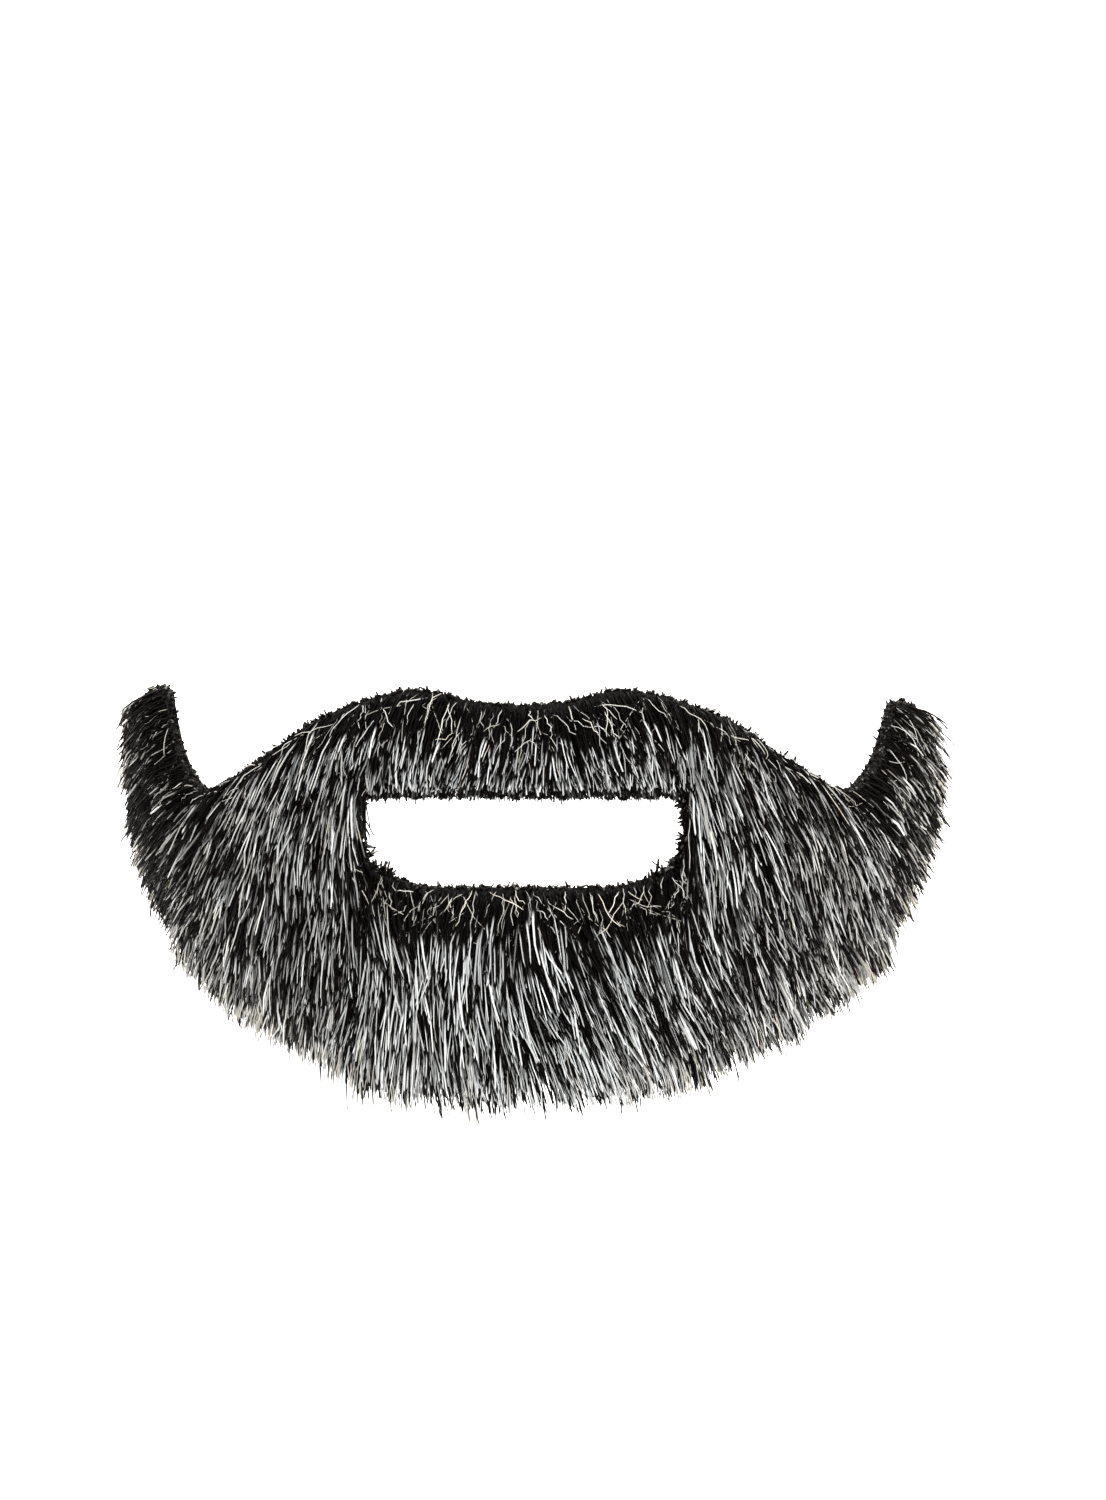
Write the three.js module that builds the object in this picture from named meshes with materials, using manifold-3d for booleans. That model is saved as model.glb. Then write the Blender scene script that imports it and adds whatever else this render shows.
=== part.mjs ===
// A stick-on fake beard for a child, in millimetres: long-pile fabric cut with a mouth opening
// and a sideburn strip on each side, in the form that it has on a face.
// +Z is up, the front looks along -Y, and +X is the wearer's left. The origin is on the back of
// the cloth, at the middle of the moustache's top edge.
//
// Everything is laid out along flow lines. A flow line starts at the cloth's top edge, runs over
// the face the way the hair is combed, and ends at the cloth's lower edge. A place on the beard is
// a line number, a share of the way down that line, and a distance out from the back of the cloth.

import * as THREE from 'three';
import { mergeVertices } from 'three/addons/utils/BufferGeometryUtils.js';
import Module from 'manifold-3d';

const wasm = await Module();
wasm.setup();

// The face that the beard is shaped to
const faceHalfWidth = 66;
const faceDepth = 78;

// The cloth
const clothThickness = 1.5;
const clothHeight = 53;
const sideburnHeight = { left: 15, right: 17.6 };
const mouthTop = 14.4;
const mouthHeight = 15.6;
const mouthCorner = { width: 14.5, height: 8.8 };

// The hair: its dense pile, and the locks that stand out of the pile
const hairGap = 0.3;
const pileDepth = 3.2;
const edgePileDepth = 0.9;
const pileRise = 11;
const areaGap = 0.4;
const lockLength = 15;
const lockWidth = 6.5;
const lockRise = 2.2;

// How finely the surfaces are divided
const clothColumnsPerLine = 3;
const pileColumnsPerLine = 2;
const bandRows = { aboveMouth: 3, besideMouth: 2, belowMouth: 3 };
const besideMouthShares = [0.33, 0.55];

// Level sections of the face. Heights are shares of the cloth's height from the origin, widths are
// shares of the face's half width, and setbacks are shares of the face's depth.
const faceSections = [
  { heightShare: 0.30, widthShare: 0.985, setbackShare: 0.010 },
  { heightShare: 0.00, widthShare: 1.000, setbackShare: 0.000 },
  { heightShare: -0.28, widthShare: 0.990, setbackShare: -0.022 },
  { heightShare: -0.42, widthShare: 0.980, setbackShare: -0.024 },
  { heightShare: -0.57, widthShare: 0.950, setbackShare: 0.010 },
  { heightShare: -0.72, widthShare: 0.885, setbackShare: 0.008 },
  { heightShare: -0.86, widthShare: 0.790, setbackShare: -0.004 },
  { heightShare: -1.00, widthShare: 0.660, setbackShare: 0.034 },
  { heightShare: -1.30, widthShare: 0.360, setbackShare: 0.200 },
];

// The flow lines of one half, from the middle of the face to the back of the sideburn. Turns are
// degrees round the face. A height is a share of the cloth's height, and a rise is a share of the
// sideburn's own height that is added to it. A fan over 1 keeps the line upright at first.
const flowColumns = ['topTurn', 'topHeight', 'topRise', 'footTurn', 'footHeight', 'footRise', 'fan'];
const flowLines = [
  [  0.0,  0.000, 0.00,   0.0, -1.000, 0.00, 1.8],
  [  7.0,  0.013, 0.00,   9.5, -0.998, 0.00, 1.8],
  [ 13.6,  0.049, 0.00,  18.5, -0.993, 0.00, 1.8],
  [ 19.0,  0.036, 0.00,  27.0, -0.980, 0.00, 1.8],
  [ 22.5,  0.018, 0.00,  34.0, -0.958, 0.00, 2.0],
  [ 31.0, -0.045, 0.00,  43.5, -0.912, 0.00, 1.8],
  [ 38.5, -0.137, 0.00,  51.5, -0.850, 0.00, 1.6],
  [ 46.0, -0.214, 0.00,  58.5, -0.765, 0.00, 1.4],
  [ 53.5, -0.270, 0.00,  65.0, -0.655, 0.00, 1.2],
  [ 58.8, -0.270, 0.14,  70.0, -0.550, 0.00, 1.0],
  [ 63.0, -0.270, 0.42,  74.0, -0.445, 0.00, 1.0],
  [ 65.8, -0.270, 0.76,  77.0, -0.350, 0.04, 1.0],
  [ 68.0, -0.270, 0.98,  79.0, -0.290, 0.20, 1.0],
  [ 73.5, -0.270, 1.00,  80.5, -0.270, 0.46, 1.0],
  [ 79.5, -0.270, 0.97,  82.0, -0.270, 0.72, 1.0],
];
const mouthLine = 4;
const notchLine = 8;
const lastLine = flowLines.length - 1;

// The areas of hair, between two flow lines. Their locks stand in rows, and a row's start is a
// share of the way down the area. Reach is a share of the lock's length.
const hairAreas = [
  { name: 'moustache', from: -mouthLine, to: mouthLine, band: 'aboveMouth', rows: [0.03, 0.34], reach: 0.66 },
  { name: 'chin', from: -mouthLine, to: mouthLine, band: 'belowMouth', rows: [0.04, 0.42, 0.83], reach: 1 },
  { name: 'cheek', from: mouthLine, to: notchLine, band: 'whole', rows: [0.02, 0.29, 0.56, 0.84], reach: 1 },
  { name: 'sideburn', from: notchLine, to: lastLine, band: 'whole', rows: [0.04, 0.40, 0.78], reach: 0.85 },
];

const lerp = THREE.MathUtils.lerp;
const clamp = THREE.MathUtils.clamp;

// A smooth curve through values that stand at rising places.
function smoothCurve(places, values) {
  const last = places.length - 1;
  const slopeAt = (i) => {
    const [a, b] = [Math.max(i - 1, 0), Math.min(i + 1, last)];
    return (values[b] - values[a]) / (places[b] - places[a]);
  };
  return (place) => {
    const next = places.findIndex((p) => p >= place);
    const i = clamp((next < 0 ? last : next) - 1, 0, last - 1);
    const span = places[i + 1] - places[i];
    const t = (place - places[i]) / span;
    const [t2, t3] = [t * t, t * t * t];
    return (2 * t3 - 3 * t2 + 1) * values[i] + (t3 - 2 * t2 + t) * span * slopeAt(i)
      + (3 * t2 - 2 * t3) * values[i + 1] + (t3 - t2) * span * slopeAt(i + 1);
  };
}

const risingSections = [...faceSections].reverse();
const sectionHeights = risingSections.map((section) => section.heightShare);
const widthAt = smoothCurve(sectionHeights, risingSections.map((section) => section.widthShare));
const setbackAt = smoothCurve(sectionHeights, risingSections.map((section) => section.setbackShare));
const lineNumbers = flowLines.map((row, number) => number);
const lineColumn = Object.fromEntries(
  flowColumns.map((column, k) => [column, smoothCurve(lineNumbers, flowLines.map((row) => row[k]))]),
);

// The point of the face at a turn in radians and a height.
function facePoint(turn, height) {
  const share = height / clothHeight;
  const halfWidth = faceHalfWidth * widthAt(share);
  const front = faceDepth * setbackAt(share);
  return new THREE.Vector3(
    halfWidth * Math.sin(turn),
    front + (faceDepth - front) * (1 - Math.cos(turn)),
    height,
  );
}

const nudge = 0.01;

// The face's outward direction there.
function faceNormal(turn, height) {
  const along = facePoint(turn + nudge, height).sub(facePoint(turn - nudge, height));
  const up = facePoint(turn, height + nudge).sub(facePoint(turn, height - nudge));
  return along.cross(up).normalize();
}

// The turn and height of a place on a flow line. Lines of the wearer's right have negative numbers.
function onLine(line, down) {
  const n = Math.abs(line);
  const rise = line < 0 ? sideburnHeight.right : sideburnHeight.left;
  const value = (column) => lineColumn[column](n);
  const top = value('topHeight') * clothHeight + value('topRise') * rise;
  const foot = value('footHeight') * clothHeight + value('footRise') * rise;
  const turned = lerp(value('topTurn'), value('footTurn'), Math.pow(down, value('fan')));
  return {
    turn: Math.sign(line) * THREE.MathUtils.degToRad(turned),
    height: lerp(top, foot, down),
  };
}

// The share of a line's length at which it reaches a depth below the origin.
function downAt(line, depth) {
  const top = onLine(line, 0).height;
  const foot = onLine(line, 1).height;
  return (top + depth) / (top - foot);
}

// A point on or off the cloth. Past a line's end, the way goes straight on.
function beardPoint(line, down, out) {
  const within = Math.min(down, 1);
  const { turn, height } = onLine(line, within);
  const point = facePoint(turn, height).addScaledVector(faceNormal(turn, height), out);
  if (down <= 1) return point;
  return point.addScaledVector(endDirection(line), (down - 1) * lineLength(line));
}

const endShare = 0.9;

function endDirection(line) {
  const [before, end] = [endShare, 1].map((down) => onLine(line, down));
  return facePoint(end.turn, end.height).sub(facePoint(before.turn, before.height)).normalize();
}

function lineLength(line) {
  const steps = 6;
  let length = 0;
  for (let i = 0; i < steps; i++) {
    const [a, b] = [i / steps, (i + 1) / steps].map((down) => onLine(line, down));
    length += facePoint(a.turn, a.height).distanceTo(facePoint(b.turn, b.height));
  }
  return length;
}

// How deep the mouth opening reaches on a line. Its lower corners are quarter ellipses.
function mouthFootDepth(line) {
  const sideways = (n) => facePoint(onLine(n, downAt(n, mouthTop)).turn, -mouthTop).x;
  const intoCorner = sideways(line) - sideways(mouthLine) + mouthCorner.width;
  const share = clamp(intoCorner / mouthCorner.width, 0, 1);
  return mouthTop + mouthHeight - mouthCorner.height * (1 - Math.sqrt(1 - share * share));
}

// Where the mouth opening starts and ends on a line, as shares of the line. Lines beside the
// mouth keep the same bands, so that the rows run on round the opening.
function mouthBand(line) {
  const n = Math.abs(line);
  const edge = Math.min(n, mouthLine);
  const start = downAt(edge, mouthTop);
  const end = downAt(edge, mouthFootDepth(edge));
  if (n <= mouthLine) return [start, end];
  const beyond = (n - mouthLine) / (lastLine - mouthLine);
  return [lerp(start, besideMouthShares[0], beyond), lerp(end, besideMouthShares[1], beyond)];
}

// A list of evenly spaced values, both ends included.
const spread = (from, to, steps) => Array.from({ length: steps + 1 }, (_, i) => lerp(from, to, i / steps));

// A closed shell from a grid of cells, of which keep picks some. pointAt gives the point at a
// column, a row and a side, 0 inside and 1 outside.
function gridShell(columns, rows, pointAt, keep = () => true) {
  const positions = [];
  for (let i = 0; i <= columns; i++) {
    for (let j = 0; j <= rows; j++) {
      for (const side of [0, 1]) positions.push(...pointAt(i, j, side));
    }
  }
  const vertex = (i, j, side) => 2 * (i * (rows + 1) + j) + side;
  const kept = (i, j) => i >= 0 && j >= 0 && i < columns && j < rows && keep(i, j);
  const faces = [];
  const quad = (a, b, c, d) => faces.push(a, b, c, a, c, d);
  const wall = (i0, j0, i1, j1) => {
    quad(vertex(i0, j0, 0), vertex(i1, j1, 0), vertex(i1, j1, 1), vertex(i0, j0, 1));
  };
  for (let i = 0; i < columns; i++) {
    for (let j = 0; j < rows; j++) {
      if (!kept(i, j)) continue;
      quad(vertex(i, j, 1), vertex(i, j + 1, 1), vertex(i + 1, j + 1, 1), vertex(i + 1, j, 1));
      quad(vertex(i, j, 0), vertex(i + 1, j, 0), vertex(i + 1, j + 1, 0), vertex(i, j + 1, 0));
      if (!kept(i - 1, j)) wall(i, j, i, j + 1);
      if (!kept(i + 1, j)) wall(i + 1, j + 1, i + 1, j);
      if (!kept(i, j - 1)) wall(i + 1, j, i, j);
      if (!kept(i, j + 1)) wall(i, j + 1, i + 1, j + 1);
    }
  }
  return solidFrom(positions, faces);
}

// A manifold solid from points and triangles, turned to face outwards. Points that nothing uses,
// as inside an opening, fall away, and points that coincide are merged.
function solidFrom(positions, faces) {
  const loose = new THREE.BufferGeometry();
  loose.setAttribute('position', new THREE.Float32BufferAttribute(positions, 3));
  loose.setIndex(faces);
  const merged = mergeVertices(loose.toNonIndexed(), 1e-4);
  const triVerts = new Uint32Array(merged.index.array);
  const vertProperties = merged.attributes.position.array;
  if (signedVolume(vertProperties, triVerts) < 0) {
    for (let i = 0; i < triVerts.length; i += 3) {
      [triVerts[i + 1], triVerts[i + 2]] = [triVerts[i + 2], triVerts[i + 1]];
    }
  }
  return new wasm.Manifold(new wasm.Mesh({ numProp: 3, vertProperties, triVerts }));
}

function signedVolume(points, triangles) {
  const [a, b, c] = [new THREE.Vector3(), new THREE.Vector3(), new THREE.Vector3()];
  let volume = 0;
  for (let i = 0; i < triangles.length; i += 3) {
    a.fromArray(points, 3 * triangles[i]);
    b.fromArray(points, 3 * triangles[i + 1]);
    c.fromArray(points, 3 * triangles[i + 2]);
    volume += a.dot(b.cross(c)) / 6;
  }
  return volume;
}

// The shares of a line at which the rows of a band lie.
function bandShares(line, band) {
  const [mouthStart, mouthEnd] = mouthBand(line);
  const bands = {
    aboveMouth: spread(0, mouthStart, bandRows.aboveMouth),
    besideMouth: spread(mouthStart, mouthEnd, bandRows.besideMouth),
    belowMouth: spread(mouthEnd, 1, bandRows.belowMouth),
  };
  if (band !== 'whole') return bands[band];
  return [...bands.aboveMouth, ...bands.besideMouth.slice(1), ...bands.belowMouth.slice(1)];
}

const lineStep = 1 / clothColumnsPerLine;

function backingCloth() {
  const lines = spread(-lastLine, lastLine, 2 * lastLine * clothColumnsPerLine);
  const shares = lines.map((line) => bandShares(line, 'whole'));
  const firstMouthRow = bandRows.aboveMouth;
  const afterMouthRow = firstMouthRow + bandRows.besideMouth;
  const inMouthColumn = (i) => Math.abs(lines[i] + lineStep / 2) < mouthLine;
  const inMouthRow = (j) => j >= firstMouthRow && j < afterMouthRow;
  return gridShell(
    lines.length - 1,
    shares[0].length - 1,
    (i, j, side) => beardPoint(lines[i], shares[i][j], side * clothThickness),
    (i, j) => !(inMouthColumn(i) && inMouthRow(j)),
  );
}

// How deep the dense pile is at a place. It is thin at the upper edge and thickens down the line.
function pileAt(line, down, start) {
  const travelled = (down - start) * lineLength(line);
  const full = THREE.MathUtils.smoothstep(travelled, 0, pileRise);
  return lerp(edgePileDepth, pileDepth, full);
}

const pileFloor = clothThickness + hairGap;

function pileShell(area, lines) {
  const shares = lines.map((line) => bandShares(line, area.band));
  return gridShell(lines.length - 1, shares[0].length - 1, (i, j, side) => {
    const down = shares[i][j];
    return beardPoint(lines[i], down, pileFloor + side * pileAt(lines[i], down, shares[i][0]));
  });
}

// One lock: a ridge that rises out of the pile along a flow line and drops to a pointed tip. Its
// sides and its underside stay in the pile, and run free past the cloth's lower edge.
const lockSections = [
  { along: 0.00, widthShare: 0.50, riseShare: -0.10 },
  { along: 0.35, widthShare: 0.94, riseShare: 0.55 },
  { along: 0.76, widthShare: 0.72, riseShare: 1.00 },
];
// Depths in the pile, as shares of the pile's depth from the cloth outwards.
const undersideShare = 0.4;
const sideShare = 0.82;
const tipShare = 0.9;

function lock(line, halfWidth, rootShare, reachShare, topShare, rise) {
  const positions = [];
  const place = (across, along, pileShare, out) => {
    const down = rootShare + along * reachShare;
    const pile = pileAt(line, Math.min(down, 1), topShare);
    positions.push(...beardPoint(line + across * halfWidth, down, pileFloor + pile * pileShare + out));
  };
  for (const section of lockSections) {
    place(-section.widthShare, section.along, sideShare, 0);
    place(0, section.along, 1, section.riseShare * rise);
    place(section.widthShare, section.along, sideShare, 0);
    place(0, section.along, undersideShare, 0);
  }
  place(0, 1, tipShare, 0);
  const faces = [0, 1, 2, 0, 2, 3];
  const tip = 4 * lockSections.length;
  for (let ring = 0; ring < lockSections.length; ring++) {
    for (let k = 0; k < 4; k++) {
      const [a, b] = [4 * ring + k, 4 * ring + (k + 1) % 4];
      if (ring + 1 < lockSections.length) faces.push(a, a + 4, b + 4, a, b + 4, b);
      else faces.push(a, tip, b);
    }
  }
  return solidFrom(positions, faces);
}

// A repeatable spread of values from -1 to 1, so that no two neighbouring locks are alike.
const goldenShare = 0.618034;
const vary = (n) => 2 * ((n * goldenShare) % 1) - 1;
const lengthVariation = 0.14;
const riseVariation = 0.25;

function hairArea(area, side) {
  const [from, to] = side < 0 ? [-area.to, -area.from] : [area.from, area.to];
  const middle = (from + to) / 2;
  const width = widthBetween(from, to, area.band);
  const margin = ((areaGap / 2) * (to - from)) / width;
  const [low, high] = [from + margin, to - margin];
  const lines = spread(low, high, Math.round((to - from) * pileColumnsPerLine));
  const pieces = [pileShell(area, lines)];
  area.rows.forEach((start, row) => {
    const count = Math.round(width / lockWidth) + (row % 2);
    const step = (high - low) / count;
    for (let k = 0; k < count; k++) {
      const line = low + (k + 0.5) * step;
      const shares = bandShares(line, area.band);
      const [top, foot] = [shares[0], shares[shares.length - 1]];
      const seed = row * 17 + k * 5 + Math.round(Math.abs(middle));
      const length = lockLength * area.reach * (1 + lengthVariation * vary(seed));
      const root = lerp(top, foot, start);
      const rise = lockRise * (1 + riseVariation * vary(seed + 3));
      pieces.push(lock(line, step / 2, root, length / lineLength(line), top, rise));
    }
  });
  return pieces.reduce((all, piece) => all.add(piece));
}

// The width of an area across its middle.
function widthBetween(from, to, band) {
  const lines = spread(from, to, Math.round((to - from) * pileColumnsPerLine));
  const points = lines.map((line) => {
    const shares = bandShares(line, band);
    return beardPoint(line, (shares[0] + shares[shares.length - 1]) / 2, clothThickness);
  });
  return points.slice(1).reduce((sum, point, i) => sum + point.distanceTo(points[i]), 0);
}

const clothMaterial = new THREE.MeshStandardMaterial({ color: '#151413', roughness: 0.95, metalness: 0 });
const hairMaterial = new THREE.MeshStandardMaterial({ color: '#55565a', roughness: 0.55, metalness: 0 });

const beard = new THREE.Group();

function addPiece(name, solid, material) {
  const { vertProperties, triVerts } = solid.getMesh();
  const geometry = new THREE.BufferGeometry();
  geometry.setAttribute('position', new THREE.BufferAttribute(vertProperties, 3));
  geometry.setIndex(new THREE.BufferAttribute(triVerts, 1));
  geometry.computeVertexNormals();
  const mesh = new THREE.Mesh(geometry, material);
  mesh.name = name;
  beard.add(mesh);
}

addPiece('backing_cloth', backingCloth(), clothMaterial);
for (const area of hairAreas) {
  const sides = area.from < 0 ? { '': 1 } : { _left: 1, _right: -1 };
  for (const [ending, side] of Object.entries(sides)) {
    addPiece(`${area.name}_hair${ending}`, hairArea(area, side), hairMaterial.clone());
  }
}

export default beard;
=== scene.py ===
# %% [markdown]
# # A fake beard, grown fibre by fibre
# The real object is a piece of long-pile fabric that is cut to the shape of a beard, to be stuck
# on: black modacrylic fibres with frosted tips, held in a black knitted ground.
# The CAD model brings its form: the curved cloth, and a plain solid for each area of hair.
# This script keeps the cloth's form and replaces each solid with the thousands of fibres it
# stands for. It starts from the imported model, which is in metres with Z up.

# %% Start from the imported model
import math

import bmesh
import bpy
import numpy as np
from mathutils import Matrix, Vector, kdtree
from mathutils.bvhtree import BVHTree


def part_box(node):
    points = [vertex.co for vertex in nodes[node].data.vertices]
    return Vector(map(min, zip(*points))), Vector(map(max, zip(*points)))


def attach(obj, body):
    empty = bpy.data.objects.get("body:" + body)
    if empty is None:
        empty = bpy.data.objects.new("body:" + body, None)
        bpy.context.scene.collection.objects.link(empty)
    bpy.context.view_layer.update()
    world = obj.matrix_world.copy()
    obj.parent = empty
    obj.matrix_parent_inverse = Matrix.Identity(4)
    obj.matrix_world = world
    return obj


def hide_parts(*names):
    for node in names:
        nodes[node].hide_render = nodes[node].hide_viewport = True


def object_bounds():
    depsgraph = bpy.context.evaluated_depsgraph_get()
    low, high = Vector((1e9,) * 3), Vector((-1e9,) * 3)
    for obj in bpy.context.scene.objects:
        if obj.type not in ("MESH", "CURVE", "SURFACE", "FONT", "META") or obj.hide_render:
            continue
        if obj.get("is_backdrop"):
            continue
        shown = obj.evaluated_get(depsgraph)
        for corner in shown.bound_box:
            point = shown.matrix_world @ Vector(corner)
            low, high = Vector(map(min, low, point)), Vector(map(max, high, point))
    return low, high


MM = 0.001
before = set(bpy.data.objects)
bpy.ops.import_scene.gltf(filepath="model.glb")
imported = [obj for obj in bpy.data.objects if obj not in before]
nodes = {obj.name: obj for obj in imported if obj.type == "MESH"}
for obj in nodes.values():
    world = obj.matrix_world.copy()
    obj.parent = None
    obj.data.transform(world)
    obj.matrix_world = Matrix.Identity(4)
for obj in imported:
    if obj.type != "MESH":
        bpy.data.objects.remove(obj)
cad_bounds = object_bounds()
chance = np.random.default_rng(1903)
print("CAD nodes:", ", ".join(sorted(nodes)))

# %% [markdown]
# ## Camera
# The photograph looks level at the beard, turned by little more than a degree. A long lens from
# 1.5 m gives its flat perspective. The long side of the picture covers 249 mm at the beard.

# %% Camera
CAMERA_DISTANCE = 1500 * MM
CAMERA_TURN = math.radians(1.4)
PICTURE_HEIGHT = 249 * MM
AIM_SIDEWAYS = 5.3 * MM
AIM_HEIGHT = -7.3 * MM
SENSOR = 36.0

sideways = Vector((math.cos(CAMERA_TURN), math.sin(CAMERA_TURN), 0))
forwards = Vector((-math.sin(CAMERA_TURN), math.cos(CAMERA_TURN), 0))
camera = bpy.data.objects.new("camera", bpy.data.cameras.new("camera"))
bpy.context.scene.collection.objects.link(camera)
camera.data.sensor_width = SENSOR
camera.data.lens = SENSOR * CAMERA_DISTANCE / PICTURE_HEIGHT
camera.location = sideways * AIM_SIDEWAYS - forwards * CAMERA_DISTANCE + Vector((0, 0, AIM_HEIGHT))
camera.rotation_euler = (math.pi / 2, 0, CAMERA_TURN)
camera.data.clip_start = 0.05
camera.data.clip_end = 50
bpy.context.scene.camera = camera
print(f"lens {camera.data.lens:.0f} mm from {CAMERA_DISTANCE:.1f} m")

# %% [markdown]
# ## Light, floor and background
# The photograph is lit evenly against white. A white world gives part of that. A soft light above
# the camera models the hair, weaker ones stand at both sides and behind, and the strongest is
# aimed at the wall, so that it shows white. The floor is a plain pale sheet below the beard that
# curves up to a wall all round. The beard is held up as it is when it is worn.

# %% Light and floor
WORLD_STRENGTH = 0.4
FLOOR_DROP = 130 * MM
FLOOR_RADIUS = 2.2
CURVE = 2.4
CURVE_STEPS = 12
WALL_HEIGHT = 3.2
FLOOR_SEGMENTS = 96
BEARD_MIDDLE = Vector((0, 0.02, -0.03))

scene = bpy.context.scene
scene.view_settings.view_transform = "Standard"
world = bpy.data.worlds.new("white_studio")
scene.world = world
world.use_nodes = True
world.node_tree.nodes["Background"].inputs["Color"].default_value = (1, 1, 1, 1)
world.node_tree.nodes["Background"].inputs["Strength"].default_value = WORLD_STRENGTH


def soft_light(name, place, size, watts, target=BEARD_MIDDLE):
    """An area light of that size in metres. Most are aimed at the middle of the beard."""
    light = bpy.data.objects.new(name, bpy.data.lights.new(name, "AREA"))
    light.data.size = size
    light.data.energy = watts
    light.location = place
    light.rotation_mode = "QUATERNION"
    light.rotation_quaternion = (target - light.location).to_track_quat("-Z", "Y")
    scene.collection.objects.link(light)
    return light


soft_light("key_light", Vector((0.15, -1.8, 1.2)), 0.45, 33)
soft_light("left_light", Vector((-1.5, -1.3, 0.3)), 0.8, 3)
soft_light("right_light", Vector((1.5, -1.1, 0.4)), 0.8, 9)
soft_light("top_light", Vector((0.2, 0.9, 1.6)), 0.6, 12)
soft_light("background_light", Vector((0, 1.4, 2.6)), 2.0, 260, Vector((0, 4.6, -0.2)))

floor_form = bmesh.new()
profile = [(0.001, 0), (FLOOR_RADIUS, 0)]
for step in range(1, CURVE_STEPS + 1):
    angle = step / CURVE_STEPS * math.pi / 2
    profile.append((FLOOR_RADIUS + CURVE * math.sin(angle), CURVE * (1 - math.cos(angle))))
profile.append((FLOOR_RADIUS + CURVE, WALL_HEIGHT))
line = [floor_form.verts.new((x, 0, z - FLOOR_DROP)) for x, z in profile]
for first, second in zip(line, line[1:]):
    floor_form.edges.new((first, second))
bmesh.ops.spin(
    floor_form, geom=floor_form.verts[:] + floor_form.edges[:], cent=(0, 0, 0), axis=(0, 0, 1),
    angle=math.tau, steps=FLOOR_SEGMENTS, use_merge=True,
)
bmesh.ops.remove_doubles(floor_form, verts=floor_form.verts, dist=0.01)
bmesh.ops.recalc_face_normals(floor_form, faces=floor_form.faces)
floor = bpy.data.objects.new("floor", bpy.data.meshes.new("floor"))
floor_form.to_mesh(floor.data)
floor_form.free()
floor.data.shade_smooth()
scene.collection.objects.link(floor)
floor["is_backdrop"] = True

# %% [markdown]
# ## Helpers for materials
# Colours are written as sRGB hex values, as a paint chart gives them, and turned linear here.
# One function adds a shader node: an input is either a plain value or another node's output.

# %% Colour and node helpers
def colour(hex_value):
    """Linear RGBA from an sRGB hex value such as #1b1a1b."""
    parts = [int(hex_value[i : i + 2], 16) / 255 for i in (1, 3, 5)]
    return tuple(c / 12.92 if c <= 0.04045 else ((c + 0.055) / 1.055) ** 2.4 for c in parts) + (1.0,)


def add_node(tree, kind, inputs=None, **settings):
    """Adds a shader node with its settings. An input is a value or another node's output."""
    node = tree.nodes.new("ShaderNode" + kind)
    for name, value in settings.items():
        setattr(node, name, value)
    for key, value in (inputs or {}).items():
        if isinstance(value, bpy.types.NodeSocket):
            tree.links.new(value, node.inputs[key])
        else:
            node.inputs[key].default_value = value
    return node


def new_material(name):
    """An empty node material and its tree, with a Principled BSDF to finish it."""
    material = bpy.data.materials.new(name)
    material.use_nodes = True
    tree = material.node_tree
    return material, tree, tree.nodes["Principled BSDF"]


floor_material, floor_tree, floor_shader = new_material("matt_white_studio_paper")
floor_shader.inputs["Base Color"].default_value = colour("#f4f4f2")
floor_shader.inputs["Roughness"].default_value = 0.9
floor.data.materials.append(floor_material)
print("material:", floor_material.name)

# %% [markdown]
# ## Reading the cloth
# Fibres need to know where the cloth is and which way it faces. The CAD cloth is a closed shell,
# so its faces are sorted into the front, which the hair grows on, and the rim, which is the cut
# edge. Seen from above the cloth follows an ellipse, and a face belongs to the front if it looks
# straight away from that ellipse.

# %% Sort the cloth's faces
ELLIPSE_HALF_WIDTH = 66 * MM
ELLIPSE_DEPTH = 78 * MM
INNER_POINT = np.array([0, 45, -22]) * MM
FRONT_FACING = 0.75

shell = bmesh.new()
shell.from_mesh(nodes["backing_cloth"].data)
bmesh.ops.remove_doubles(shell, verts=shell.verts, dist=0.01 * MM)
bmesh.ops.triangulate(shell, faces=shell.faces)
shell.normal_update()
shell_points = np.array([v.co for v in shell.verts])
shell_faces = np.array([[v.index for v in f.verts] for f in shell.faces])
face_normals = np.array([f.normal for f in shell.faces])
face_middles = shell_points[shell_faces].mean(axis=1)


def unit(vectors):
    """The vectors at length 1."""
    return vectors / np.maximum(np.linalg.norm(vectors, axis=-1, keepdims=True), 1e-12)


def looks_out(points):
    """Which way is outwards at some points: straight away from the ellipse, seen from above."""
    x, y = points[:, 0] / ELLIPSE_HALF_WIDTH**2, (points[:, 1] - ELLIPSE_DEPTH) / ELLIPSE_DEPTH**2
    return unit(np.stack([x, y, np.zeros(len(points))], axis=1))


facing = (face_normals * looks_out(face_middles)).sum(axis=1)
front = facing > FRONT_FACING
rim = np.abs(facing) <= FRONT_FACING


def smooth_corner_normals(faces, normals):
    """A normal for each corner of each face, averaged over the faces that share the point."""
    at_points = np.zeros_like(shell_points)
    for corner in range(3):
        np.add.at(at_points, faces[:, corner], normals)
    return unit(at_points)[faces]


def face_areas(faces):
    """The area of each of the faces."""
    corners = shell_points[faces]
    crosses = np.cross(corners[:, 1] - corners[:, 0], corners[:, 2] - corners[:, 0])
    return np.linalg.norm(crosses, axis=1) / 2


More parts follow.
